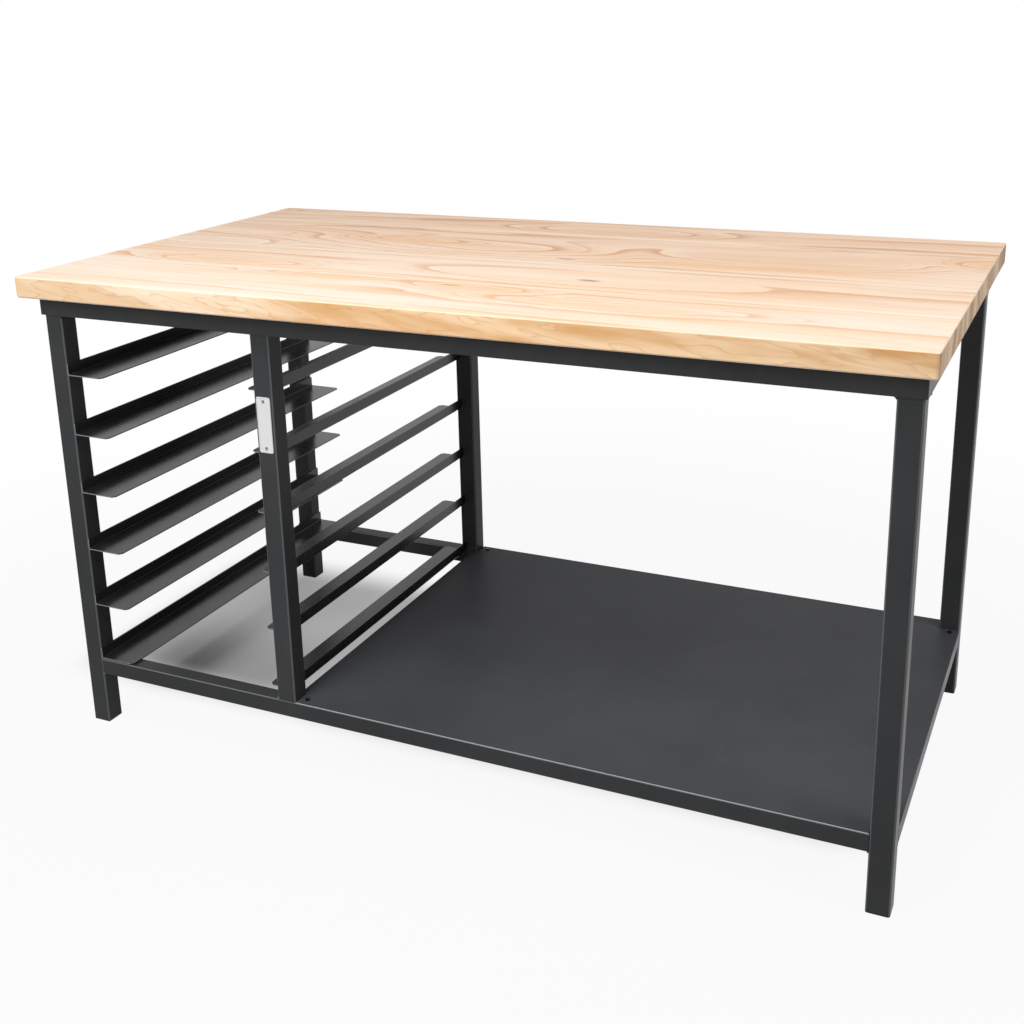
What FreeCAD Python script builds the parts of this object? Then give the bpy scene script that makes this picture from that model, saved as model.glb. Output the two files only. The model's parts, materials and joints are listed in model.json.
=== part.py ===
import FreeCAD, Part
import math
import os
import Sketcher
from types import SimpleNamespace

# Work table with a wooden worktop on a welded steel frame.
# Left bay: a rack of L-shaped slides for 600 x 400 mm trays. Right bay: a sheet-steel shelf.
# Frame of the part: X to the right along the length, Y to the back, Z up,
# origin on the floor under the middle of the worktop. All sizes are in millimetres.

SLIDE_LEVELS = 6
SHELF_BAY_SCREWS = 2
# How far a cutting outline reaches past the material it cuts
OVERCUT = 1
EDGE_TOLERANCE = 0.01

SIZES = {
    # Worktop
    "table_height": 900,
    "worktop_length": 1590,
    "worktop_depth": 870,
    "worktop_thickness": 38,
    "worktop_corner": 6,
    "worktop_edge": 2.5,
    "overhang_ends": 17,
    "overhang_sides": 39,
    # Angle-section rails under the worktop
    "angle_width": 38,
    "angle_wall": 4,
    # Square tube of the legs and middle posts
    "leg_size": 38,
    "leg_wall": 2,
    "leg_corner": 4,
    # Square tube of the lower rails and the cross rail
    "rail_size": 32,
    "rail_wall": 2,
    "rail_corner": 3,
    "lower_rail_top": 138,
    # Tray rack
    "tray_bay_width": 410,
    "slide_wall": 2,
    "slide_upstand": 22,
    "slide_bend": 1.5,
    "slide_clip": 6,
    "slide_seat_gap": 2,
    "left_flange": 76,
    "right_flange": 43,
    "right_slide_lap": 12,
    # Shelf
    "shelf_wall": 1.5,
    "shelf_lip": 20,
    "shelf_bend": 0.5,
    "shelf_post_lap": 12,
    "shelf_clearance": 1,
    "stiffener_width": 60,
    "stiffener_height": 24,
    "stiffener_flange": 15,
    # Feet
    "foot_rim": 3,
    "foot_chamfer": 1,
    "foot_plug": 16,
    "foot_skirt": 2.5,
    "foot_fit": 0.3,
    # Badge plate
    "badge_width": 28,
    "badge_height": 100,
    "badge_wall": 1,
    "badge_corner": 4,
    "badge_drop": 109,
    "rivet_pitch": 84,
    # Fasteners
    "rivet_shank": 3.2,
    "rivet_head": 6,
    "rivet_rise": 1.4,
    "rivet_tail": 1,
    "shelf_screw_shank": 5,
    "shelf_screw_head": 8,
    "shelf_screw_rise": 3.5,
    "shelf_screw_length": 14,
    "shelf_screw_inset": 16,
    "wood_screw_shank": 4.5,
    "wood_screw_head": 8,
    "wood_screw_rise": 3.2,
    "wood_screw_bite": 26,
    "hole_fit": 0.2,
}


class Size:
    """A length that carries both its number and the sheet expression behind it."""

    def __init__(self, text, value):
        self.text = text
        self.value = value

    def _with(self, other, sign, result):
        return Size(f"({self.text} {sign} {as_size(other).text})", result)

    def __add__(self, other):
        return self._with(other, "+", self.value + as_size(other).value)

    def __sub__(self, other):
        return self._with(other, "-", self.value - as_size(other).value)

    def __mul__(self, factor):
        return self._with(factor, "*", self.value * as_size(factor).value)

    def __truediv__(self, divisor):
        return self._with(divisor, "/", self.value / as_size(divisor).value)

    def __neg__(self):
        return Size(f"(0 - {self.text})", -self.value)


def as_size(number):
    return number if isinstance(number, Size) else Size(str(number), number)


ZERO = as_size(0)

doc = FreeCAD.newDocument("work_table")
sheet = doc.addObject("Spreadsheet::Sheet", "dims")
for row, (alias, number) in enumerate(SIZES.items(), start=1):
    sheet.set(f"A{row}", alias)
    sheet.set(f"B{row}", str(number))
    sheet.setAlias(f"B{row}", alias)
doc.recompute()

d = SimpleNamespace(**{alias: Size(f"dims.{alias}", number) for alias, number in SIZES.items()})

# Faces and heights that several pieces share
frame_x = d.worktop_length / 2 - d.overhang_ends
frame_y = d.worktop_depth / 2 - d.overhang_sides
leg_face_x = frame_x - d.angle_wall
leg_face_y = frame_y - d.angle_wall
leg_x = leg_face_x - d.leg_size / 2
leg_y = leg_face_y - d.leg_size / 2
worktop_bottom = d.table_height - d.worktop_thickness
frame_top = worktop_bottom - d.angle_wall
top_rail_bottom = worktop_bottom - d.angle_width
lower_rail_z = d.lower_rail_top - d.rail_size / 2
bay_left = d.leg_size - leg_face_x
post_left = bay_left + d.tray_bay_width
post_x = post_left + d.leg_size / 2
post_right = post_left + d.leg_size
shelf_left = post_right - d.shelf_post_lap
shelf_top = d.lower_rail_top + d.shelf_wall
slide_pitch = (top_rail_bottom - d.lower_rail_top) / SLIDE_LEVELS
badge_z = top_rail_bottom - d.badge_drop - d.badge_height / 2
flange_screw_inset = d.angle_wall + (d.angle_width - d.angle_wall) / 2

# Objects that are written out as pieces, in the order they are made
pieces = []


def new_body(label):
    body = doc.addObject("PartDesign::Body", label)
    body.Label = label
    return body


def place(piece, x=ZERO, y=ZERO, z=ZERO, turn=0):
    """Puts a piece at a point bound to the sheet, turned about Z by degrees."""
    rotation = FreeCAD.Rotation(FreeCAD.Vector(0, 0, 1), turn)
    piece.Placement = FreeCAD.Placement(FreeCAD.Vector(x.value, y.value, z.value), rotation)
    for axis, size in zip("xyz", (x, y, z)):
        piece.setExpression(f"Placement.Base.{axis}", size.text)


def keep(piece, **where):
    place(piece, **where)
    pieces.append(piece)
    return piece


def new_sketch(body, plane, lift=ZERO):
    """A sketch on one of the body's own planes, lifted along that plane's normal."""
    sketch = body.newObject("Sketcher::SketchObject", f"{body.Name}_sketch")
    support = next(f for f in body.Origin.OriginFeatures if f.Role == plane)
    sketch.AttachmentSupport = (support, [""])
    sketch.MapMode = "FlatFace"
    sketch.setExpression("AttachmentOffset.Base.z", lift.text)
    return sketch


def bind(sketch, kind, geometry, point, size):
    """Adds one dimension to a sketch and ties it to the sheet."""
    if kind == "Radius":
        index = sketch.addConstraint(Sketcher.Constraint(kind, geometry, size.value))
    else:
        index = sketch.addConstraint(Sketcher.Constraint(kind, geometry, point, size.value))
    name = f"dim{index}"
    sketch.renameConstraint(index, name)
    sketch.setExpression(f"Constraints.{name}", size.text)


def polygon(sketch, corners):
    """A closed outline of straight lines; each corner is a pair of sizes."""
    first = sketch.GeometryCount
    points = [FreeCAD.Vector(x.value, y.value, 0) for x, y in corners]
    count = len(points)
    for i in range(count):
        sketch.addGeometry(Part.LineSegment(points[i], points[(i + 1) % count]))
    for i in range(count):
        following = first + (i + 1) % count
        sketch.addConstraint(Sketcher.Constraint("Coincident", first + i, 2, following, 1))
    for i, (x, y) in enumerate(corners):
        bind(sketch, "DistanceX", first + i, 1, x)
        bind(sketch, "DistanceY", first + i, 1, y)


def square(sketch, side):
    """A square about the sketch origin."""
    half = side / 2
    polygon(sketch, [(-half, -half), (half, -half), (half, half), (-half, half)])


def hexagon(sketch, across_flats):
    """A hexagon about the sketch origin with two corners on its X axis."""
    corner = across_flats / math.sqrt(3)
    half = corner / 2
    flat = across_flats / 2
    polygon(sketch, [
        (corner, ZERO), (half, flat), (-half, flat), (-corner, ZERO), (-half, -flat), (half, -flat),
    ])


def rounded_rectangle(sketch, width, height, radius):
    """A rectangle about the sketch origin with tangent corner arcs."""
    first = sketch.GeometryCount
    half_w, half_h, r = width.value / 2, height.value / 2, radius.value
    in_w, in_h = half_w - r, half_h - r
    quarter = math.pi / 2
    sides = [
        ((-in_w, -half_h), (in_w, -half_h)),
        ((half_w, -in_h), (half_w, in_h)),
        ((in_w, half_h), (-in_w, half_h)),
        ((-half_w, in_h), (-half_w, -in_h)),
    ]
    centres = [(in_w, -in_h), (in_w, in_h), (-in_w, in_h), (-in_w, -in_h)]
    normal = FreeCAD.Vector(0, 0, 1)
    for i, ((start, end), centre) in enumerate(zip(sides, centres)):
        sketch.addGeometry(Part.LineSegment(FreeCAD.Vector(*start, 0), FreeCAD.Vector(*end, 0)))
        circle = Part.Circle(FreeCAD.Vector(*centre, 0), normal, r)
        sketch.addGeometry(Part.ArcOfCircle(circle, (i - 1) * quarter, i * quarter))
    for i in range(8):
        following = first + (i + 1) % 8
        sketch.addConstraint(Sketcher.Constraint("Tangent", first + i, 2, following, 1))
    for side, direction in enumerate(("Horizontal", "Vertical", "Horizontal", "Vertical")):
        sketch.addConstraint(Sketcher.Constraint(direction, first + 2 * side))
    for corner in (1, 2, 3):
        sketch.addConstraint(Sketcher.Constraint("Equal", first + 1, first + 1 + 2 * corner))
    bind(sketch, "Radius", first + 1, 0, radius)
    bind(sketch, "DistanceY", first, 1, -height / 2)
    bind(sketch, "DistanceX", first + 2, 1, width / 2)
    bind(sketch, "DistanceY", first + 4, 1, height / 2)
    bind(sketch, "DistanceX", first + 6, 1, -width / 2)


def circles(sketch, centres, diameter):
    for x, y in centres:
        centre = FreeCAD.Vector(x.value, y.value, 0)
        circle = Part.Circle(centre, FreeCAD.Vector(0, 0, 1), diameter.value / 2)
        index = sketch.addGeometry(circle)
        bind(sketch, "Radius", index, 0, diameter / 2)
        bind(sketch, "DistanceX", index, 3, x)
        bind(sketch, "DistanceY", index, 3, y)


def pad(body, sketch, length, side="One side", reverse=False):
    feature = body.newObject("PartDesign::Pad", f"{body.Name}_pad")
    feature.Profile = sketch
    feature.SideType = side
    feature.Reversed = reverse
    feature.setExpression("Length", length.text)
    doc.recompute()
    return feature


def pocket(body, sketch, length, side="One side", reverse=False):
    """Cuts a sketch into the body and makes sure that material came away."""
    before = body.Shape.Volume
    feature = body.newObject("PartDesign::Pocket", f"{body.Name}_pocket")
    feature.Profile = sketch
    feature.SideType = side
    feature.Reversed = reverse
    feature.setExpression("Length", length.text)
    doc.recompute()
    if body.Shape.Volume >= before:
        raise RuntimeError(f"{body.Label}: a cut removed nothing")
    return feature


def dress(body, kind, base, size, test):
    """A fillet or chamfer on the edges of the base feature whose box passes a test."""
    names = []
    for number, edge in enumerate(base.Shape.Edges, start=1):
        if test(edge.BoundBox):
            names.append(f"Edge{number}")
    if not names:
        raise RuntimeError(f"{body.Label}: no edge to dress")
    feature = body.newObject(f"PartDesign::{kind}", f"{body.Name}_{kind.lower()}")
    feature.Base = (base, names)
    feature.setExpression("Radius" if kind == "Fillet" else "Size", size.text)
    doc.recompute()
    return feature


def near(a, b):
    return abs(a - b) < EDGE_TOLERANCE


def runs_along_y(box, x, z):
    """True for a straight edge along Y at the given place in the XZ plane."""
    return all((near(box.XMin, x), near(box.XMax, x), near(box.ZMin, z), near(box.ZMax, z)))


def tube(label, plane, size, corner, wall, length, side="One side"):
    """Square tube with rounded outer corners, its axis along the normal of the given plane."""
    body = new_body(label)
    section = new_sketch(body, plane)
    rounded_rectangle(section, size, size, corner)
    square(section, size - wall * 2)
    pad(body, section, length, side)
    return body


def rail_tube(label, plane, length):
    return tube(label, plane, d.rail_size, d.rail_corner, d.rail_wall, length, "Symmetric")


def leg_tube(label, length):
    return tube(label, "XY_Plane", d.leg_size, d.leg_corner, d.leg_wall, length)


def flange_screw_places():
    """Where the wood screws pass through the front and rear top rails."""
    bay_width = -post_right - bay_left
    along = [bay_left + d.tray_bay_width / 2]
    for i in range(1, SHELF_BAY_SCREWS + 1):
        along.append(post_right + bay_width / (SHELF_BAY_SCREWS + 1) * i)
    line_y = frame_y - flange_screw_inset
    return {
        "front": [(x, -line_y) for x in along],
        "rear": [(x, line_y) for x in along],
    }


def make_worktop():
    """Panel with a rounded upper edge and a broken lower edge, drilled from below for the wood screws."""
    body = new_body("worktop")
    outline = new_sketch(body, "XY_Plane")
    rounded_rectangle(outline, d.worktop_length, d.worktop_depth, d.worktop_corner)
    panel = pad(body, outline, d.worktop_thickness)
    top = d.worktop_thickness.value
    rounded = dress(body, "Fillet", panel, d.worktop_edge, lambda box: near(box.ZMin, top))
    dress(body, "Chamfer", rounded, d.worktop_edge, lambda box: near(box.ZMax, 0))
    pilots = new_sketch(body, "XY_Plane")
    centres = [point for points in flange_screw_places().values() for point in points]
    circles(pilots, centres, d.wood_screw_shank + d.hole_fit)
    pocket(body, pilots, d.wood_screw_bite + d.hole_fit, reverse=True)
    keep(body, z=worktop_bottom)


def make_top_rail(side, length, turn, x, y, screw_places):
    """Angle rail: flat flange under the worktop, upright flange outside the legs, mitred ends."""
    body = new_body(f"top_rail_{side}")
    section = new_sketch(body, "YZ_Plane")
    width, wall = d.angle_width, d.angle_wall
    polygon(section, [
        (ZERO, ZERO), (ZERO, -width), (wall, -width), (wall, -wall), (width, -wall), (width, ZERO),
    ])
    pad(body, section, length, "Symmetric")
    mitres = new_sketch(body, "XY_Plane")
    for end in (1, -1):
        tip = (length / 2 + OVERCUT) * end
        heel = (length / 2 - width - OVERCUT) * end
        inside = width + OVERCUT
        polygon(mitres, [(tip, as_size(-OVERCUT)), (tip, inside), (heel, inside)])
    pocket(body, mitres, (width + OVERCUT) * 2, "Symmetric")
    if screw_places:
        bores = new_sketch(body, "XY_Plane")
        circles(bores, screw_places, d.wood_screw_shank + d.hole_fit * 2)
        pocket(body, bores, width, "Symmetric")
    keep(body, x=x, y=y, z=worktop_bottom, turn=turn)


def make_top_rails():
    places = flange_screw_places()
    inset = flange_screw_inset
    front = [(x, inset) for x, _ in places["front"]]
    rear = [(-x, inset) for x, _ in places["rear"]]
    make_top_rail("front", frame_x * 2, 0, ZERO, -frame_y, front)
    make_top_rail("rear", frame_x * 2, 180, ZERO, frame_y, rear)
    make_top_rail("left", frame_y * 2, -90, -frame_x, ZERO, [])
    make_top_rail("right", frame_y * 2, 90, frame_x, ZERO, [])


def make_top_cross_rail():
    """Square tube under the worktop from the front to the rear middle post."""
    body = rail_tube("top_cross_rail", "XZ_Plane", (leg_y - d.leg_size / 2) * 2)
    keep(body, x=post_x, z=worktop_bottom - d.rail_size / 2)


def make_legs_and_feet():
    for end, y in (("front", -leg_y), ("rear", leg_y)):
        for hand, x in (("left", -leg_x), ("right", leg_x)):
            leg = leg_tube(f"leg_{end}_{hand}", frame_top - d.foot_rim)
            keep(leg, x=x, y=y, z=d.foot_rim)
            keep(make_foot(f"foot_{end}_{hand}"), x=x, y=y)


def make_foot(label):
    """Plastic end cap: a rim under the tube and a hollow plug inside it."""
    body = new_body(label)
    rim = new_sketch(body, "XY_Plane")
    rounded_rectangle(rim, d.leg_size, d.leg_size, d.leg_corner)
    plate = pad(body, rim, d.foot_rim)
    dress(body, "Chamfer", plate, d.foot_chamfer, lambda box: near(box.ZMax, 0))
    plug = new_sketch(body, "XY_Plane", d.foot_rim)
    outside = d.leg_size - d.leg_wall * 2 - d.foot_fit * 2
    square(plug, outside)
    square(plug, outside - d.foot_skirt * 2)
    pad(body, plug, d.foot_plug)
    return body


def rivet_heights():
    return [badge_z - d.rivet_pitch / 2, badge_z + d.rivet_pitch / 2]


def make_middle_posts():
    length = frame_top - d.lower_rail_top
    front = leg_tube("middle_post_front", length)
    bores = new_sketch(front, "XZ_Plane")
    centres = [(ZERO, height - d.lower_rail_top) for height in rivet_heights()]
    circles(bores, centres, d.rivet_shank + d.hole_fit)
    pocket(front, bores, d.leg_size / 2 + d.leg_wall, reverse=True)
    keep(front, x=post_x, y=-leg_y, z=d.lower_rail_top)
    rear = leg_tube("middle_post_rear", length)
    keep(rear, x=post_x, y=leg_y, z=d.lower_rail_top)


def shelf_screw_places():
    """One screw beside each middle post and one beside each right leg, on the rails' centre lines."""
    post_screw_x = post_right + d.shelf_screw_inset
    leg_screw_y = leg_face_y - d.leg_size - d.shelf_screw_inset
    rail_x = leg_face_x - d.rail_size / 2
    rail_y = leg_face_y - d.rail_size / 2
    return {
        "front": [(post_screw_x, -rail_y)],
        "rear": [(post_screw_x, rail_y)],
        "right": [(rail_x, -leg_screw_y), (rail_x, leg_screw_y)],
        "left": [],
    }


def make_lower_rails():
    """Square tubes between the legs, flush with their outer faces, drilled for the shelf screws."""
    rail_x = leg_face_x - d.rail_size / 2
    rail_y = leg_face_y - d.rail_size / 2
    long_length = (leg_face_x - d.leg_size) * 2
    short_length = (leg_face_y - d.leg_size) * 2
    layout = {
        "front": ("YZ_Plane", long_length, ZERO, -rail_y),
        "rear": ("YZ_Plane", long_length, ZERO, rail_y),
        "left": ("XZ_Plane", short_length, -rail_x, ZERO),
        "right": ("XZ_Plane", short_length, rail_x, ZERO),
    }
    places = shelf_screw_places()
    for side, (plane, length, x, y) in layout.items():
        body = rail_tube(f"lower_rail_{side}", plane, length)
        if places[side]:
            bores = new_sketch(body, "XY_Plane")
            circles(bores, [(px - x, py - y) for px, py in places[side]], shelf_hole())
            pocket(body, bores, d.rail_size / 2 + d.rail_wall, reverse=True)
        keep(body, x=x, y=y, z=lower_rail_z)


def shelf_hole():
    return d.shelf_screw_shank + d.hole_fit


def make_shelf():
    """Sheet over the right bay, notched round the posts and legs, its free left edge turned down."""
    body = new_body("shelf")
    outline = new_sketch(body, "XY_Plane")
    gap = d.leg_size + d.shelf_clearance
    front, inner = -leg_face_y, gap - leg_face_y
    post_notch = post_right + d.shelf_clearance
    leg_notch = leg_face_x - gap
    polygon(outline, [
        (post_notch, front), (leg_notch, front), (leg_notch, inner), (leg_face_x, inner),
        (leg_face_x, -inner), (leg_notch, -inner), (leg_notch, -front), (post_notch, -front),
        (post_notch, -inner), (shelf_left, -inner), (shelf_left, inner), (post_notch, inner),
    ])
    pad(body, outline, d.shelf_wall)
    lip = new_sketch(body, "XY_Plane")
    lip_inside = shelf_left + d.shelf_wall
    polygon(lip, [
        (shelf_left, inner), (lip_inside, inner), (lip_inside, -inner), (shelf_left, -inner),
    ])
    folded = pad(body, lip, d.shelf_lip, reverse=True)
    rounded = dress(
        body, "Fillet", folded, d.shelf_bend + d.shelf_wall,
        lambda box: runs_along_y(box, shelf_left.value, d.shelf_wall.value),
    )
    dress(
        body, "Fillet", rounded, d.shelf_bend,
        lambda box: runs_along_y(box, lip_inside.value, 0),
    )
    bores = new_sketch(body, "XY_Plane")
    centres = [point for points in shelf_screw_places().values() for point in points]
    circles(bores, centres, shelf_hole())
    pocket(body, bores, (d.shelf_wall + OVERCUT) * 2, "Symmetric")
    keep(body, z=d.lower_rail_top)


def make_shelf_stiffener():
    """Hat section under the middle of the shelf, from the front to the rear lower rail."""
    body = new_body("shelf_stiffener")
    section = new_sketch(body, "XZ_Plane")
    wall = d.shelf_wall
    out = d.stiffener_width / 2
    brim = out + d.stiffener_flange
    deep = -d.stiffener_height
    polygon(section, [
        (-brim, ZERO), (wall - out, ZERO), (wall - out, deep + wall), (out - wall, deep + wall),
        (out - wall, ZERO), (brim, ZERO), (brim, -wall), (out, -wall),
        (out, deep), (-out, deep), (-out, -wall), (-brim, -wall),
    ])
    pad(body, section, (leg_face_y - d.rail_size) * 2, "Symmetric")
    middle = (shelf_left + leg_face_x - d.rail_size) / 2
    keep(body, x=middle, z=d.lower_rail_top)


def make_slide(label, hand, flange, length):
    """Bent-sheet L: an upright edge on the frame and a flange that points into the bay."""
    body = new_body(label)
    section = new_sketch(body, "XZ_Plane")
    wall, reach = d.slide_wall * hand, flange * hand
    rise = d.slide_upstand
    polygon(section, [
        (ZERO, ZERO), (reach, ZERO), (reach, d.slide_wall),
        (wall, d.slide_wall), (wall, rise), (ZERO, rise),
    ])
    bent = pad(body, section, length, "Symmetric")
    outer = dress(
        body, "Fillet", bent, d.slide_bend + d.slide_wall,
        lambda box: runs_along_y(box, 0, 0),
    )
    inner = dress(
        body, "Fillet", outer, d.slide_bend,
        lambda box: runs_along_y(box, wall.value, d.slide_wall.value),
    )

    def flange_corner(box):
        return near(box.XMin, reach.value) and near(box.XMax, reach.value) and near(box.YMin, box.YMax)

    dress(body, "Chamfer", inner, d.slide_clip, flange_corner)
    return body


def make_tray_rack():
    """Left slides lap the inner faces of the legs; right slides end on the faces of the middle posts."""
    between_posts = (leg_face_y - d.leg_size) * 2
    for level in range(SLIDE_LEVELS):
        height = d.lower_rail_top + d.slide_seat_gap + slide_pitch * level
        number = level + 1
        left = make_slide(f"tray_slide_left_{number}", 1, d.left_flange, leg_face_y * 2)
        keep(left, x=bay_left, z=height)
        right_width = d.right_flange + d.right_slide_lap
        right = make_slide(f"tray_slide_right_{number}", -1, right_width, between_posts)
        keep(right, x=post_left + d.right_slide_lap, z=height)


def make_badge_plate():
    """Bare plate with rounded corners, riveted to the front of the front middle post."""
    body = new_body("badge_plate")
    outline = new_sketch(body, "XZ_Plane")
    rounded_rectangle(outline, d.badge_width, d.badge_height, d.badge_corner)
    circles(outline, [(ZERO, height - badge_z) for height in rivet_heights()], d.rivet_shank + d.hole_fit)
    pad(body, outline, d.badge_wall)
    keep(body, x=post_x, y=-leg_face_y, z=badge_z)


def hex_screw(label, shank, length, head, rise, points_up):
    """Screw with a hexagon head, its seat at the origin."""
    body = new_body(label)
    head_outline = new_sketch(body, "XY_Plane")
    hexagon(head_outline, head)
    pad(body, head_outline, rise, reverse=points_up)
    shank_outline = new_sketch(body, "XY_Plane")
    circles(shank_outline, [(ZERO, ZERO)], shank)
    pad(body, shank_outline, length, reverse=not points_up)
    return body


def rivet(label):
    """Turned rivet along Y, its head on the front of the badge plate."""
    body = new_body(label)
    profile = new_sketch(body, "XY_Plane")
    tip = d.badge_wall + d.leg_wall + d.rivet_tail
    polygon(profile, [
        (ZERO, tip), (d.rivet_shank / 2, tip), (d.rivet_shank / 2, ZERO), (d.rivet_head / 2, ZERO),
        (d.rivet_head / 3, -d.rivet_rise), (ZERO, -d.rivet_rise),
    ])
    turned = body.newObject("PartDesign::Revolution", f"{label}_turned")
    turned.Profile = profile
    turned.ReferenceAxis = (profile, ["V_Axis"])
    turned.Angle = 360
    doc.recompute()
    return body


def make_fastener_group(label, bodies):
    group = doc.addObject("Part::Compound", label)
    group.Label = label
    group.Links = bodies
    pieces.append(group)


def make_shelf_screws():
    screws = []
    points = [point for points in shelf_screw_places().values() for point in points]
    for number, (x, y) in enumerate(points, start=1):
        screw = hex_screw(
            f"shelf_screw_{number}", d.shelf_screw_shank, d.shelf_screw_length,
            d.shelf_screw_head, d.shelf_screw_rise, False,
        )
        place(screw, x=x, y=y, z=shelf_top)
        screws.append(screw)
    make_fastener_group("shelf_screws", screws)


def make_worktop_screws():
    screws = []
    points = [point for points in flange_screw_places().values() for point in points]
    for number, (x, y) in enumerate(points, start=1):
        screw = hex_screw(
            f"worktop_screw_{number}", d.wood_screw_shank, d.wood_screw_bite + d.angle_wall,
            d.wood_screw_head, d.wood_screw_rise, True,
        )
        place(screw, x=x, y=y, z=frame_top)
        screws.append(screw)
    make_fastener_group("worktop_screws", screws)


def make_badge_rivets():
    rivets = []
    for number, height in enumerate(rivet_heights(), start=1):
        made = rivet(f"badge_rivet_{number}")
        place(made, x=post_x, y=-leg_face_y - d.badge_wall, z=height)
        rivets.append(made)
    make_fastener_group("badge_rivets", rivets)


def check_model():
    for thing in doc.Objects:
        if "Invalid" in thing.State or "Error" in thing.State:
            raise RuntimeError(f"{thing.Label} failed: {thing.State}")
    for piece in pieces:
        if piece.Shape.isNull() or not piece.Shape.isValid():
            raise RuntimeError(f"{piece.Label} has no valid shape")


def write_pieces():
    os.makedirs("parts", exist_ok=True)
    for piece in pieces:
        piece.Shape.exportStep(f"parts/{piece.Label}.step")
        print(f"{piece.Label}: {len(piece.Shape.Solids)} solid(s), {piece.Shape.Volume / 1000:.1f} cm3")


make_worktop()
make_top_rails()
make_top_cross_rail()
make_legs_and_feet()
make_middle_posts()
make_lower_rails()
make_shelf()
make_shelf_stiffener()
make_tray_rack()
make_badge_plate()
make_shelf_screws()
make_worktop_screws()
make_badge_rivets()
doc.recompute()
check_model()
write_pieces()
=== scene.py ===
"""Looks of the work table: materials, weld beads, studio light and the photograph's camera.

Everything is in metres in the part's own frame: X to the right, Y to the back, Z up.
"""
import json
import math

import bmesh
import bpy
from mathutils import Matrix, Vector


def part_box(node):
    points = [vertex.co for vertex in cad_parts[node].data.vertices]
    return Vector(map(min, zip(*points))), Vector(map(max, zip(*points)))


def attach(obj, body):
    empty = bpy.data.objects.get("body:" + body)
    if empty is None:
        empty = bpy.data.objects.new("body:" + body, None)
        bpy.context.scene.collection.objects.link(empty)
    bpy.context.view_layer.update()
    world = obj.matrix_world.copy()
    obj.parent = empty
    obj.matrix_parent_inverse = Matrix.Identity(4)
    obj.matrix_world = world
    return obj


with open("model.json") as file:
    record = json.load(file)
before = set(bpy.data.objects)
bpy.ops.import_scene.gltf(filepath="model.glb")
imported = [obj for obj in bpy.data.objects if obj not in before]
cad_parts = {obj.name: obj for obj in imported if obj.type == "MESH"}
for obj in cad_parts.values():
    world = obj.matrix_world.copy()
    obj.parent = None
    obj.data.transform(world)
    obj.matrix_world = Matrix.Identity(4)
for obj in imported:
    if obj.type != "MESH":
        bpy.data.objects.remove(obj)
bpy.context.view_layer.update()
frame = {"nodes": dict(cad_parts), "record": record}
nodes = frame["nodes"]

# Camera of the photograph
CAMERA_PLACE = (0.9998, -2.1822, 1.3436)
CAMERA_TURN = 25.18
CAMERA_PITCH = -16.54
CAMERA_ROLL = -1.32
CAMERA_LENS = 46.9
CAMERA_SHIFT = (0.001, -0.108)

# Glue joints between the boards of the worktop, from front to back
JOINTS = (-0.235, -0.03, 0.262)
GLUE_LINE = 0.0006
PALE_EDGE = 0.011
# Figure of the worktop: centre x and y, half length, half width, plain core, number of the ring in the core
HEARTS = (
    (-0.13, 0.11, 0.52, 0.16, 0.1, 7.3),
    (-0.29, 0.13, 0.20, 0.05, 0.2, 8.3),
    (0.46, 0.14, 0.31, 0.105, 0.6, 6.4),
    (0.81, 0.19, 0.15, 0.07, 0.2, 7.3),
    (0.06, 0.34, 0.30, 0.07, 0.3, 9.4),
    (-0.72, 0.24, 0.20, 0.08, 0.3, 7.3),
    (-0.68, 0.0, 0.22, 0.07, 0.3, 4.4),
    (-0.52, -0.17, 0.26, 0.05, 0.3, 1.4),
    (0.17, -0.13, 0.38, 0.06, 0.6, 1.25),
    (-0.25, -0.24, 0.24, 0.04, 0.3, 0.3),
    (0.02, -0.26, 0.20, 0.05, 0.3, 0.3),
    (0.30, -0.31, 0.40, 0.045, 0.3, -0.7),
)
# Warmer streaks: centre x and y, half length, half width, strength
STREAKS = (
    (-0.29, 0.13, 0.20, 0.05, 0.35),
    (0.45, 0.035, 0.42, 0.04, 0.6),
    (0.81, 0.19, 0.15, 0.07, 0.45),
    (-0.52, -0.17, 0.26, 0.05, 0.4),
    (-0.25, -0.24, 0.24, 0.04, 0.5),
    (0.02, -0.26, 0.20, 0.05, 0.45),
    (0.30, -0.31, 0.40, 0.045, 0.2),
)
# Small knots: centre x and y, half length
KNOTS = (
    (-0.31, -0.22, 0.022),
    (-0.016, -0.25, 0.028),
    (0.19, -0.137, 0.03),
    (-0.74, 0.41, 0.02),
    (0.08, 0.03, 0.03),
)
KNOT_SLIMNESS = 0.2
# Shift of the growth rings from one board to the next, in rings
BOARD_SHIFT = 0.37
TABLE_TOP = 0.9

# Directions
LEFT, RIGHT = Vector((-1, 0, 0)), Vector((1, 0, 0))
FRONT, BACK = Vector((0, -1, 0)), Vector((0, 1, 0))
DOWN, UP = Vector((0, 0, -1)), Vector((0, 0, 1))

# Weld beads: their legs, and the lengths of those on the slides
FRAME_BEAD = 0.003
SLIDE_BEAD = 0.002
SLIDE_BEAD_HALF_LENGTH = 0.011
SLIDE_BEAD_INSETS = (0.001, 0.0035)
# Ripples of a bead, and its tapered ends and sunken root, as shares of its leg
RIPPLE_STEP = 0.0016
RIPPLE_DEPTH = 0.16
BEAD_END = 0.45
BEAD_ROOT = 0.25
# Weld fills in the corners beside the legs
CORNER_FILL = 0.005
CORNER_FILL_DEPTH = 0.0085
CORNER_FILL_PROUD = 0.0035
CORNER_FILL_ROOT = 0.1
LEG_CORNER = 0.004

# Raised rim of the badge plate: inset from the outline and height of each point of its section
BADGE_CORNER = 0.004
BADGE_RIM = ((0.0003, -0.0001), (0.0007, 0.0004), (0.0018, 0.0004), (0.0024, -0.0001))

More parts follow.
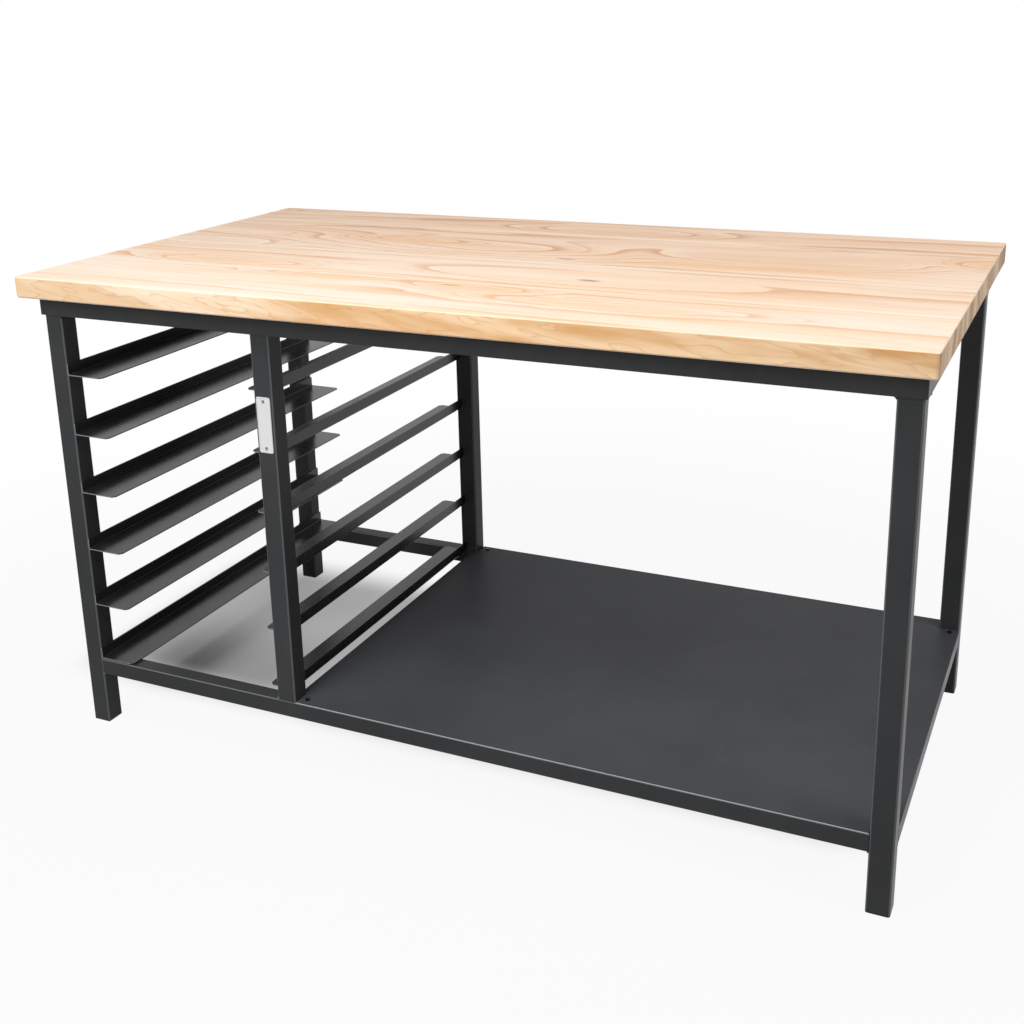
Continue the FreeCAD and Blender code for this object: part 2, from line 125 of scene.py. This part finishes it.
# Floor, and the zone under the table where its shadow shows: each pair is where a fade starts and ends
FLOOR_HALF = 60.0
FLOOR_MATTE = (0.52, 0.525, 0.535, 1)
SHADOW_MIDDLE = (-0.13, 0.1)
SHADOW_FADE_X = (0.74, 0.89)
SHADOW_FADE_Y = (0.22, 0.38)
SHADOW_DEPTH = 0.67
# Deeper shadow below the tray rack
RACK_FADE_IN = (-0.94, -0.8)
RACK_FADE_OUT = (-0.56, -0.42)
RACK_FADE_BACK = (-0.12, 0.16)
RACK_DEPTH = 0.22
# Share of white near the table, and the distances over which it rises to plain white
NEAR_WHITE = 0.93
WHITE_FADE = (0.9, 2.5)

# Light of the world on the table; the camera and reflections see plain white
WORLD_FILL = 0.2
# Soft boxes in front, above the front edge, high on the right, and a weak one behind:
# name, place, aim, width and height, power in watts, colour
LAMPS = (
    ("key_light", (-0.5, -2.8, 2.0), (0.0, -0.1, 0.6), (1.4, 1.4), 49.0, (1.0, 1.0, 1.0)),
    ("top_light", (-0.4, -1.25, 2.6), (0.0, -0.2, 0.8), (1.4, 0.7), 24.0, (1.0, 1.0, 1.0)),
    ("side_light", (2.4, -0.3, 2.4), (0.3, 0.0, 0.6), (1.2, 1.2), 28.0, (1.0, 0.98, 0.96)),
    ("back_light", (0.6, 3.0, 2.0), (0.0, 0.2, 0.6), (2.0, 2.0), 15.0, (1.0, 1.0, 1.0)),
)


class Graph:
    """Short ways to add nodes to one material."""

    def __init__(self, name):
        self.material = bpy.data.materials.new(name)
        self.material.use_nodes = True
        self.tree = self.material.node_tree
        self.tree.nodes.clear()
        self.output = self.tree.nodes.new("ShaderNodeOutputMaterial")

    def node(self, kind, settings=None, **inputs):
        made = self.tree.nodes.new("ShaderNode" + kind)
        for key, value in (settings or {}).items():
            setattr(made, key, value)
        for key, value in inputs.items():
            self.feed(made.inputs[key.replace("_", " ")], value)
        return made

    def feed(self, socket, value):
        if isinstance(value, bpy.types.NodeSocket):
            self.tree.links.new(value, socket)
        else:
            socket.default_value = value

    def math(self, operation, a, b=0.0, c=0.0):
        made = self.tree.nodes.new("ShaderNodeMath")
        made.operation = operation
        for socket, value in zip(made.inputs, (a, b, c)):
            self.feed(socket, value)
        return made.outputs[0]

    def times(self, a, b):
        return self.math("MULTIPLY", a, b)

    def plus(self, a, b):
        return self.math("ADD", a, b)

    def size_of(self, a):
        return self.math("ABSOLUTE", a)

    def mix(self, factor, a, b):
        made = self.tree.nodes.new("ShaderNodeMix")
        made.data_type = "RGBA"
        self.feed(made.inputs["Factor"], factor)
        self.feed(made.inputs[6], a)
        self.feed(made.inputs[7], b)
        return made.outputs[2]

    def span(self, value, low, high, to_low=0.0, to_high=1.0, smooth=False):
        """Maps low..high onto to_low..to_high, clamped."""
        made = self.tree.nodes.new("ShaderNodeMapRange")
        made.interpolation_type = "SMOOTHSTEP" if smooth else "LINEAR"
        for socket, number in zip(made.inputs, (value, low, high, to_low, to_high)):
            self.feed(socket, number)
        return made.outputs[0]

    def noise(self, vector, scale, detail=2.0, roughness=0.5):
        made = self.node("TexNoise", Vector=vector, Scale=scale, Detail=detail, Roughness=roughness)
        return made.outputs["Fac"]

    def stretched_noise(self, vector, scale, detail=2.0, roughness=0.5):
        """Noise with its own scale along each axis."""
        stretched = self.node("Mapping", Vector=vector, Scale=scale).outputs[0]
        return self.noise(stretched, 1.0, detail, roughness)

    def place(self):
        """Where a point lies on the part, in metres."""
        return self.node("TexCoord").outputs["Object"]

    def split(self, vector):
        return self.node("SeparateXYZ", Vector=vector).outputs

    def join(self, x, y, z):
        return self.node("CombineXYZ", X=x, Y=y, Z=z).outputs[0]

    def facing(self):
        """The way the surface faces, as X, Y and Z."""
        return self.split(self.node("TexCoord").outputs["Normal"])

    def raised_edge(self, facing_x, facing_y, facing_z):
        """Above 0 where a rounded edge faces both up and to a side; it masks the painted highlights along
        edges that catch the light from above.
        """
        sides = self.plus(self.size_of(facing_x), self.size_of(facing_y))
        return self.times(self.math("MAXIMUM", facing_z, 0.0), sides)

    def bump(self, height, distance, strength=1.0):
        return self.node("Bump", Height=height, Distance=distance, Strength=strength).outputs[0]

    def surface(self, **inputs):
        shader = self.node("BsdfPrincipled", **inputs)
        self.tree.links.new(shader.outputs[0], self.output.inputs["Surface"])
        return self.material


def colour(red, green, blue):
    """Linear colour from the 0 to 255 numbers of a picture."""
    def linear(value):
        share = value / 255
        return share / 12.92 if share <= 0.04045 else ((share + 0.055) / 1.055) ** 2.4

    return linear(red), linear(green), linear(blue), 1.0


def growth_lines(g, field):
    """Lines where the field passes whole numbers: a slow rise to the dark late wood, then a quick drop."""
    ring = g.math("FRACT", field)
    early = g.span(ring, 0.2, 0.95, 0.0, 0.3, smooth=True)
    late = g.span(ring, 0.74, 0.94, 0.0, 0.7, smooth=True)
    return g.times(g.plus(early, late), g.span(ring, 1.0, 0.95))


def oval_distance(g, place, x, y, half_length, half_width):
    """0 at the middle of an oval that lies along X, and 1 on its outline."""
    inside = g.node(
        "Mapping", Vector=place,
        Location=(-x / half_length, -y / half_width, 0.0), Scale=(1 / half_length, 1 / half_width, 0.0),
    ).outputs[0]
    return g.node("VectorMath", {"operation": "LENGTH"}, Vector=inside).outputs["Value"]


def pine_top(g, place, board):
    """Flat-sawn face: growth lines run along X and close into long ovals round the hearts."""
    x, y, _ = g.split(place)
    sway = g.stretched_noise(place, (2.4, 7.0, 1.0), 2.0)
    feather = g.stretched_noise(place, (11.0, 90.0, 1.0), 3.0)
    wavy_y = g.math("MULTIPLY_ADD", sway, 0.05, y)
    wavy_y = g.math("MULTIPLY_ADD", feather, 0.012, wavy_y)
    wavy = g.join(x, g.plus(wavy_y, -0.031), 0.0)
    crowding = g.stretched_noise(place, (0.5, 6.5, 1.0), 1.0)
    field = g.math("MULTIPLY_ADD", crowding, 3.4, g.times(wavy_y, 13.0))
    field = g.math("MULTIPLY_ADD", board, BOARD_SHIFT, field)
    fading = g.stretched_noise(place, (2.0, 11.0, 1.0), 2.0)
    shown = g.span(fading, 0.38, 0.62, 0.15, 1.0, smooth=True)
    for heart_x, heart_y, half_length, half_width, core, ring in HEARTS:
        distance = oval_distance(g, wavy, heart_x, heart_y, half_length, half_width)
        inside = g.span(distance, core, 1.0, 1.0, 0.0, smooth=True)
        field = g.math("MULTIPLY_ADD", inside, g.math("SUBTRACT", ring, field), field)
        shown = g.math("MAXIMUM", shown, g.span(distance, 0.85, 1.2, 0.75, 0.0, smooth=True))
    tint = 0.0
    for streak_x, streak_y, half_length, half_width, strength in STREAKS:
        distance = oval_distance(g, wavy, streak_x, streak_y, half_length, half_width)
        tint = g.plus(tint, g.span(distance, 0.2, 0.9, strength, 0.0, smooth=True))
    shown = g.times(shown, g.span(y, -0.42, -0.1, 0.7, 1.0))
    lines = g.times(growth_lines(g, field), shown)
    weak_lines = g.times(growth_lines(g, g.times(field, 2.0)), shown)
    fine_lines = growth_lines(g, g.times(field, 6.0))

    # Painted light: the colours run from paler at the front, where the light falls strongest, to pinker and
    # darker toward the back.
    light_falloff_to_back = g.span(y, -0.42, 0.4, smooth=True)
    pale = g.mix(light_falloff_to_back, colour(251, 234, 217), colour(249, 220, 193))
    peach = g.mix(light_falloff_to_back, colour(249, 216, 178), colour(240, 196, 157))
    late_wood = g.mix(light_falloff_to_back, colour(226, 166, 108), colour(202, 140, 98))
    warm = colour(240, 188, 130)
    knot_brown = colour(156, 102, 60)
    cloud = g.stretched_noise(place, (1.6, 15.0, 1.0), 3.0, 0.55)
    wood = g.mix(g.span(cloud, 0.4, 0.68, 0.0, 0.6, smooth=True), pale, peach)
    wood = g.mix(tint, wood, warm)
    wood = g.mix(g.times(fine_lines, 0.14), wood, late_wood)
    wood = g.mix(g.times(weak_lines, 0.4), wood, late_wood)
    wood = g.mix(g.times(lines, 0.7), wood, late_wood)
    for knot_x, knot_y, half_length in KNOTS:
        distance = oval_distance(g, wavy, knot_x, knot_y, half_length, half_length * KNOT_SLIMNESS)
        wood = g.mix(g.span(distance, 0.3, 1.0, 0.7, 0.0, smooth=True), wood, knot_brown)
    return wood, g.plus(lines, g.times(fine_lines, 0.5))


def pine_long_edge(g, place):
    """Long edges: soft slanting swirls in honey, paler toward the left end."""
    x, y, z = g.split(place)
    slanted = g.join(g.math("MULTIPLY_ADD", z, 2.4, x), y, z)
    swirl = g.stretched_noise(slanted, (5.0, 1.0, 20.0), 3.0, 0.5)
    lines = growth_lines(g, g.times(swirl, 9.0))
    cloud = g.stretched_noise(slanted, (3.6, 1.0, 17.0), 3.0, 0.55)
    to_right = g.span(x, -0.75, 0.1, smooth=True)
    honey = g.mix(to_right, colour(250, 231, 207), colour(245, 211, 171))
    deep = g.mix(to_right, colour(236, 203, 166), colour(215, 163, 105))
    wood = g.mix(g.span(cloud, 0.4, 0.66, smooth=True), honey, deep)
    return g.mix(g.times(lines, 0.3), wood, colour(196, 140, 84))


def pine_end(g, place, board):
    """Sawn ends: bands of growth rings that slant across each board."""
    _, y, z = g.split(place)
    chance = g.math("FRACT", g.math("MULTIPLY_ADD", board, BOARD_SHIFT, 0.1))
    lean = g.span(chance, 0.0, 1.0, -0.5, 0.9)
    across = g.plus(y, g.times(g.plus(z, -TABLE_TOP), lean))
    wander = g.noise(place, 14.0, 2.0)
    across = g.math("MULTIPLY_ADD", wander, 0.02, across)
    rings = g.stretched_noise(g.join(across, g.times(board, 3.1), 0.0), (17.0, 1.0, 1.0), 2.0, 0.5)
    pores = g.noise(place, 900.0, 2.0)
    wood = g.mix(g.span(rings, 0.38, 0.64, smooth=True), colour(226, 198, 168), colour(164, 120, 80))
    wood = g.mix(g.times(chance, 0.35), wood, colour(214, 182, 150))
    return g.mix(g.span(pores, 0.5, 0.75, 0.0, 0.2), wood, colour(132, 94, 62))


def pine_wood():
    """Edge-glued pine with a satin oil: plain-sawn boards along X."""
    g = Graph("pine_panel")
    place = g.place()
    _, y, _ = g.split(place)
    board, past_joint, near_joint = 0.0, 1.0, 1.0
    for joint in JOINTS:
        from_joint = g.plus(y, -joint)
        board = g.plus(board, g.math("GREATER_THAN", from_joint, 0.0))
        near_joint = g.math("MINIMUM", near_joint, g.size_of(from_joint))
        past_joint = g.math("MINIMUM", past_joint, g.size_of(g.plus(from_joint, -PALE_EDGE)))

    top, lines = pine_top(g, place, board)
    facing_x, facing_y, facing_z = g.facing()
    top = g.mix(g.span(past_joint, 0.0, PALE_EDGE, 0.6, 0.0, smooth=True), top, colour(253, 240, 220))
    wood = g.mix(g.span(g.size_of(facing_y), 0.55, 0.9), top, pine_long_edge(g, place))
    wood = g.mix(g.span(g.size_of(facing_x), 0.55, 0.9), wood, pine_end(g, place, board))

    fibre = g.stretched_noise(place, (16.0, 800.0, 800.0), 3.0, 0.6)
    brown = colour(196, 146, 98)
    wood = g.mix(g.span(fibre, 0.56, 0.8, 0.0, 0.16), wood, brown)
    wood = g.mix(g.span(near_joint, 0.0, GLUE_LINE, 0.55, 0.0), wood, brown)
    # Painted highlight: a cream line along the rounded edges that face up and catch the light.
    painted_edge_highlight = g.raised_edge(facing_x, facing_y, facing_z)
    wood = g.mix(g.span(painted_edge_highlight, 0.25, 0.5, 0.0, 0.55), wood, colour(253, 239, 216))

    return g.surface(
        Base_Color=wood, Roughness=g.span(g.plus(lines, fibre), 0.0, 2.0, 0.54, 0.42),
        Normal=g.bump(g.plus(g.times(lines, 0.4), fibre), 0.0001), Specular_IOR_Level=0.1,
    )


def powder_coat(name, shade, roughness, gloss_level, edge_highlights=0.0, end_face_highlight=0.0):
    """Satin black powder coat: fine orange peel, faint handling marks, and painted highlights on the rounded
    edges and on faces that look to the front or back.
    """
    g = Graph(name)
    place = g.place()
    peel = g.noise(place, 620.0, 2.0, 0.6)
    slow = g.noise(place, 5.0, 3.0, 0.55)
    marks = g.stretched_noise(place, (22.0, 22.0, 7.0), 3.0, 0.6)
    darker = tuple(channel * 0.8 for channel in shade[:3]) + (1.0,)
    lighter = tuple(channel * 1.5 + 0.004 for channel in shade[:3]) + (1.0,)
    tone = g.mix(g.span(slow, 0.35, 0.65), darker, shade)
    tone = g.mix(g.span(marks, 0.58, 0.78, 0.0, 0.18), tone, lighter)
    facing_x, facing_y, facing_z = g.facing()
    # Painted highlights: lighter lines along the upright corners, and brighter ones along the edges that
    # face up, where the light catches them.
    if edge_highlights:
        upright = g.times(g.size_of(g.times(facing_x, facing_y)), 2.0)
        raised = g.raised_edge(facing_x, facing_y, facing_z)
        tone = g.mix(g.span(upright, 0.45, 0.95, 0.0, 0.4 * edge_highlights), tone, colour(132, 134, 137))
        tone = g.mix(g.span(raised, 0.3, 0.7, 0.0, 0.8 * edge_highlights), tone, colour(176, 178, 181))
    # Painted highlight: faces that look to the front or back, such as the sheet's front edge and the slides'
    # ends, are made lighter.
    if end_face_highlight:
        tone = g.mix(g.span(g.size_of(facing_y), 0.9, 0.98, 0.0, end_face_highlight), tone, colour(205, 206, 208))
    even = g.span(slow, 0.3, 0.7, roughness - 0.04, roughness + 0.05)
    rubbed = g.span(marks, 0.5, 0.8, 0.0, 0.05)
    return g.surface(
        Base_Color=tone, Roughness=g.plus(even, rubbed), Specular_IOR_Level=gloss_level,
        Normal=g.bump(peel, 0.00001, 0.8),
    )


def moulded_plastic():
    g = Graph("foot_plastic")
    place = g.place()
    grain = g.noise(place, 1400.0, 1.0)
    scuff = g.noise(place, 90.0, 4.0, 0.65)
    tone = g.mix(g.span(scuff, 0.55, 0.75, 0.0, 0.6), colour(22, 22, 23), colour(46, 45, 44))
    return g.surface(
        Base_Color=tone, Roughness=g.span(scuff, 0.3, 0.7, 0.5, 0.66), Specular_IOR_Level=0.3,
        Normal=g.bump(grain, 0.00004),
    )


def satin_plate():
    """Bare satin aluminium, brushed along the plate's length."""
    g = Graph("badge_metal")
    place = g.place()
    lines = g.stretched_noise(place, (5200.0, 5200.0, 60.0), 2.0)
    cloud = g.noise(place, 60.0, 2.0)
    tone = g.mix(lines, colour(212, 213, 214), colour(230, 230, 230))
    return g.surface(
        Base_Color=tone, Metallic=0.25, Roughness=g.span(cloud, 0.3, 0.7, 0.36, 0.48),
        Normal=g.bump(lines, 0.000012),
    )


def steel(name, dark, bright, metallic):
    """Plated or blackened steel of the screws and rivets."""
    g = Graph(name)
    cloud = g.noise(g.place(), 400.0, 3.0, 0.6)
    return g.surface(
        Base_Color=g.mix(cloud, dark, bright), Metallic=metallic,
        Roughness=g.span(cloud, 0.3, 0.7, 0.3, 0.46), Normal=g.bump(cloud, 0.00002),
    )


def make_looks():
    """One material for each slot of the record."""
    return {
        "wood": pine_wood(),
        "frame_coat": powder_coat("frame_coat", colour(59, 60, 61), 0.34, 0.08, edge_highlights=1.0),
        "slide_coat": powder_coat("slide_coat", colour(35, 36, 38), 0.24, 0.32, end_face_highlight=0.3),
        "shelf_sheet": powder_coat("shelf_sheet", colour(75, 77, 81), 0.46, 0.05, end_face_highlight=0.9),
        "foot_plastic": moulded_plastic(),
        "badge": satin_plate(),
        "bright_steel": steel("zinc_steel", colour(104, 106, 110), colour(158, 158, 158), 0.9),
        "black_steel": steel("black_oxide", colour(14, 14, 15), colour(34, 34, 35), 0.3),
    }


def dress_nodes(looks):
    """Gives every node of the part the material of its slot."""
    for entry in frame["record"]["subparts"]:
        mesh = nodes[entry["node"]].data
        mesh.materials.clear()
        mesh.materials.append(looks[entry["material_slot"]])


def add_loft(shape, rings):
    """Closed skin over rings of points with the same count, capped at both ends."""
    made = [[shape.verts.new(point) for point in ring] for ring in rings]
    count = len(made[0])
    for first, second in zip(made, made[1:]):
        for i in range(count):
            j = (i + 1) % count
            shape.faces.new((first[i], first[j], second[j], second[i]))
    shape.faces.new(list(reversed(made[0])))
    shape.faces.new(made[-1])


def add_bead(shape, start, end, side_a, side_b, leg):
    """Rippled weld bead from start to end, in the corner of two faces that leave as side_a and side_b."""
    start, end, side_a, side_b = (Vector(v) for v in (start, end, side_a, side_b))
    steps = max(4, round((end - start).length / RIPPLE_STEP))
    arc = [math.radians(angle) for angle in (0, 30, 60, 90)]
    rings = []
    for step in range(steps + 1):
        at_end = step in (0, steps)
        reach = leg * (BEAD_END if at_end else 1.0 - RIPPLE_DEPTH * (step % 2))
        line = start.lerp(end, step / steps)
        root = line - (side_a + side_b) * leg * BEAD_ROOT
        rings.append([root] + [line + (side_a * math.cos(t) + side_b * math.sin(t)) * reach for t in arc])
    add_loft(shape, rings)


def add_corner_fill(shape, corner, side_a, side_b, reach, through):
    """Hollow-faced weld fill in a corner, drawn out along the vector through."""
    corner, side_a, side_b, through = (Vector(v) for v in (corner, side_a, side_b, through))
    centre = corner + (side_a + side_b) * reach
    arc = [math.radians(angle) for angle in range(0, 91, 15)]
    root = corner - (side_a + side_b) * reach * CORNER_FILL_ROOT
    face = [root] + [centre - (side_a * math.cos(t) + side_b * math.sin(t)) * reach for t in arc]
    add_loft(shape, [face, [point + through for point in face]])


def add_piece(name, shape, look):
    """Makes an object of a finished shape; it is fixed to the table."""
    bmesh.ops.recalc_face_normals(shape, faces=shape.faces)
    mesh = bpy.data.meshes.new(name)
    shape.to_mesh(mesh)
    shape.free()
    mesh.materials.append(look)
    mesh.shade_smooth()
    piece = bpy.data.objects.new(name, mesh)
    bpy.context.scene.collection.objects.link(piece)
    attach(piece, "root")


def weld_lower_rails(shape):
    """Beads under both ends of each lower rail, and on top of the left one, which no sheet covers."""
    for side in ("front", "rear", "left", "right"):
        low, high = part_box(f"lower_rail_{side}")
        along_x = side in ("front", "rear")
        for at_high in (False, True):
            inward = (LEFT if at_high else RIGHT) if along_x else (FRONT if at_high else BACK)
            end = high if at_high else low
            for z, away in ((low.z, DOWN), (high.z, UP)):
                if away == UP and side != "left":
                    continue
                if along_x:
                    start, stop = (end.x, low.y, z), (end.x, high.y, z)
                else:
                    start, stop = (low.x, end.y, z), (high.x, end.y, z)
                add_bead(shape, start, stop, inward, away, FRAME_BEAD)


def weld_post_feet(shape):
    """A bead on the tray side of each middle post, where it stands on the lower rail."""
    for end in ("front", "rear"):
        post_low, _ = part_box(f"middle_post_{end}")
        rail_low, rail_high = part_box(f"lower_rail_{end}")
        start = (post_low.x, rail_low.y, post_low.z)
        stop = (post_low.x, rail_high.y, post_low.z)
        add_bead(shape, start, stop, LEFT, UP, FRAME_BEAD)


def weld_under_top_rail(shape, upright, rail, out):
    """A bead under the rail across an upright, and a fill in each corner beside it."""
    low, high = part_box(upright)
    rail_low, rail_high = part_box(rail)
    z = rail_low.z
    across_x = abs(out.y) > 0.5
    first, last = (low.x, high.x) if across_x else (low.y, high.y)
    rail_first, rail_last = (rail_low.x, rail_high.x) if across_x else (rail_low.y, rail_high.y)
    face = (low if out.x + out.y < 0 else high)[1 if across_x else 0]

    def at(along, depth):
        return Vector((along, depth, z)) if across_x else Vector((depth, along, z))

    add_bead(shape, at(first + LEG_CORNER, face), at(last - LEG_CORNER, face), out, DOWN, FRAME_BEAD)
    sideways = RIGHT if across_x else BACK
    for edge, side in ((first, -sideways), (last, sideways)):
        room = (edge - rail_first) if side == -sideways else (rail_last - edge)
        if room > CORNER_FILL * 2:
            corner = at(edge, face) + out * CORNER_FILL_PROUD
            add_corner_fill(shape, corner, side, DOWN, CORNER_FILL, -out * CORNER_FILL_DEPTH)


def weld_frame(look):
    shape = bmesh.new()
    weld_lower_rails(shape)
    weld_post_feet(shape)
    for end, out in (("front", FRONT), ("rear", BACK)):
        rail = f"top_rail_{end}"
        for hand in ("left", "right"):
            weld_under_top_rail(shape, f"leg_{end}_{hand}", rail, out)
        for hand, side in (("left", LEFT), ("right", RIGHT)):
            weld_under_top_rail(shape, f"leg_{end}_{hand}", f"top_rail_{hand}", side)
    add_piece("weld_beads_frame", shape, look)


def weld_slides(look):
    """Short beads that hold each slide to the legs or posts at its two ends."""
    shape = bmesh.new()
    levels = sum(1 for name in nodes if name.startswith("tray_slide_left"))
    for level in range(1, levels + 1):
        low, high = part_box(f"tray_slide_left_{level}")
        for end in ("front", "rear"):
            leg_low, leg_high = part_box(f"leg_{end}_left")
            middle = (leg_low.y + leg_high.y) / 2
            start = (low.x, middle - SLIDE_BEAD_HALF_LENGTH, high.z)
            stop = (low.x, middle + SLIDE_BEAD_HALF_LENGTH, high.z)
            add_bead(shape, start, stop, RIGHT, UP, SLIDE_BEAD)
        low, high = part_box(f"tray_slide_right_{level}")
        for end, y, inward in (("front", low.y, BACK), ("rear", high.y, FRONT)):
            post_low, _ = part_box(f"middle_post_{end}")
            start = (post_low.x + SLIDE_BEAD_INSETS[0], y, low.z)
            stop = (high.x - SLIDE_BEAD_INSETS[1], y, low.z)
            add_bead(shape, start, stop, inward, DOWN, SLIDE_BEAD)
    add_piece("weld_beads_slides", shape, look)


def add_badge_rim(look):
    """Raised rim pressed along the outline of the badge plate."""
    low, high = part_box("badge_plate")
    middle = (low + high) / 2
    reach_x, reach_z = (high.x - low.x) / 2 - BADGE_CORNER, (high.z - low.z) / 2 - BADGE_CORNER
    shape = bmesh.new()
    rings = []
    for quarter, (side_x, side_z) in enumerate(((1, 1), (-1, 1), (-1, -1), (1, -1))):
        for step in range(0, 91, 15):
            turn = math.radians(quarter * 90 + step)
            ring = []
            for inset, rise in BADGE_RIM:
                radius = BADGE_CORNER - inset
                x = middle.x + side_x * reach_x + math.cos(turn) * radius
                z = middle.z + side_z * reach_z + math.sin(turn) * radius
                ring.append(shape.verts.new((x, low.y - rise, z)))
            rings.append(ring)
    for ring, following in zip(rings, rings[1:] + rings[:1]):
        for i in range(len(BADGE_RIM)):
            j = (i + 1) % len(BADGE_RIM)
            shape.faces.new((ring[i], ring[j], following[j], following[i]))
    add_piece("badge_rim", shape, look)


def add_floor():
    """Pale floor: white for the camera and reflections, but matte under the table, where the shadow lies."""
    mesh = bpy.data.meshes.new("floor")
    signs = ((-1, -1), (1, -1), (1, 1), (-1, 1))
    corners = [(sign_x * FLOOR_HALF, sign_y * FLOOR_HALF, 0) for sign_x, sign_y in signs]
    mesh.from_pydata(corners, [], [(0, 1, 2, 3)])
    floor = bpy.data.objects.new("floor", mesh)
    bpy.context.scene.collection.objects.link(floor)
    g = Graph("pale_floor")
    path = g.node("LightPath").outputs
    seen = g.math("MAXIMUM", path["Is Camera Ray"], path["Is Glossy Ray"])
    seen = g.math("MAXIMUM", seen, path["Is Transmission Ray"])
    matte = g.node("BsdfDiffuse", Color=FLOOR_MATTE).outputs[0]
    white = g.node("Emission", Color=(1, 1, 1, 1), Strength=1.0).outputs[0]
    place = g.place()
    x, y, _ = g.split(place)
    from_middle_x = g.size_of(g.plus(x, -SHADOW_MIDDLE[0]))
    from_middle_y = g.size_of(g.plus(y, -SHADOW_MIDDLE[1]))
    under_x = g.span(from_middle_x, *SHADOW_FADE_X, 1.0, 0.0, smooth=True)
    under_y = g.span(from_middle_y, *SHADOW_FADE_Y, 1.0, 0.0, smooth=True)
    distance = g.node("VectorMath", {"operation": "LENGTH"}, Vector=place).outputs["Value"]
    far = g.span(distance, *WHITE_FADE, NEAR_WHITE, 1.0, smooth=True)
    rack_left = g.span(x, *RACK_FADE_IN, smooth=True)
    rack_right = g.span(x, *RACK_FADE_OUT, 1.0, 0.0, smooth=True)
    rack_y = g.span(y, *RACK_FADE_BACK, RACK_DEPTH, 0.0, smooth=True)
    depth = g.math("MULTIPLY_ADD", g.times(rack_left, rack_right), rack_y, SHADOW_DEPTH)
    share = g.math("SUBTRACT", far, g.times(g.times(under_x, under_y), depth))
    shown = g.node("MixShader", Fac=g.times(seen, share))
    g.tree.links.new(matte, shown.inputs[1])
    g.tree.links.new(white, shown.inputs[2])
    g.tree.links.new(shown.outputs[0], g.output.inputs["Surface"])
    mesh.materials.append(g.material)


def add_world():
    """White for the camera and reflections, and a soft fill for everything else."""
    world = bpy.data.worlds.new("studio")
    bpy.context.scene.world = world
    world.use_nodes = True
    tree = world.node_tree
    background = tree.nodes["Background"]
    path = tree.nodes.new("ShaderNodeLightPath").outputs
    seen = path["Is Camera Ray"]
    for ray in ("Is Glossy Ray", "Is Transmission Ray"):
        larger = tree.nodes.new("ShaderNodeMath")
        larger.operation = "MAXIMUM"
        tree.links.new(seen, larger.inputs[0])
        tree.links.new(path[ray], larger.inputs[1])
        seen = larger.outputs[0]
    strength = tree.nodes.new("ShaderNodeMapRange")
    strength.inputs["To Min"].default_value = WORLD_FILL
    strength.inputs["To Max"].default_value = 1.0
    tree.links.new(seen, strength.inputs["Value"])
    tree.links.new(strength.outputs[0], background.inputs["Strength"])
    background.inputs["Color"].default_value = (1, 1, 1, 1)


def add_lamp(name, place, aim, size, power, warmth):
    """Soft box; the white room, and not the lamp, shows in glossy surfaces, so none of them glares."""
    lamp = bpy.data.lights.new(name, "AREA")
    lamp.shape = "RECTANGLE"
    lamp.size, lamp.size_y = size
    lamp.energy = power
    lamp.color = warmth
    holder = bpy.data.objects.new(name, lamp)
    holder.location = place
    holder.rotation_euler = (Vector(aim) - Vector(place)).to_track_quat("-Z", "Y").to_euler()
    holder.visible_glossy = False
    bpy.context.scene.collection.objects.link(holder)


def add_camera():
    data = bpy.data.cameras.new("photo_camera")
    data.sensor_width = 36.0
    data.lens = CAMERA_LENS
    data.shift_x, data.shift_y = CAMERA_SHIFT
    camera = bpy.data.objects.new("photo_camera", data)
    turn = Matrix.Rotation(math.radians(CAMERA_TURN), 4, "Z")
    pitch = Matrix.Rotation(math.radians(90 + CAMERA_PITCH), 4, "X")
    roll = Matrix.Rotation(math.radians(CAMERA_ROLL), 4, "Z")
    camera.matrix_world = Matrix.Translation(CAMERA_PLACE) @ turn @ pitch @ roll
    bpy.context.scene.collection.objects.link(camera)
    bpy.context.scene.camera = camera


bpy.context.scene.view_settings.view_transform = "Standard"
looks = make_looks()
dress_nodes(looks)
weld_frame(looks["frame_coat"])
weld_slides(looks["slide_coat"])
add_badge_rim(looks["badge"])
add_floor()
add_world()
for lamp_values in LAMPS:
    add_lamp(*lamp_values)
add_camera()
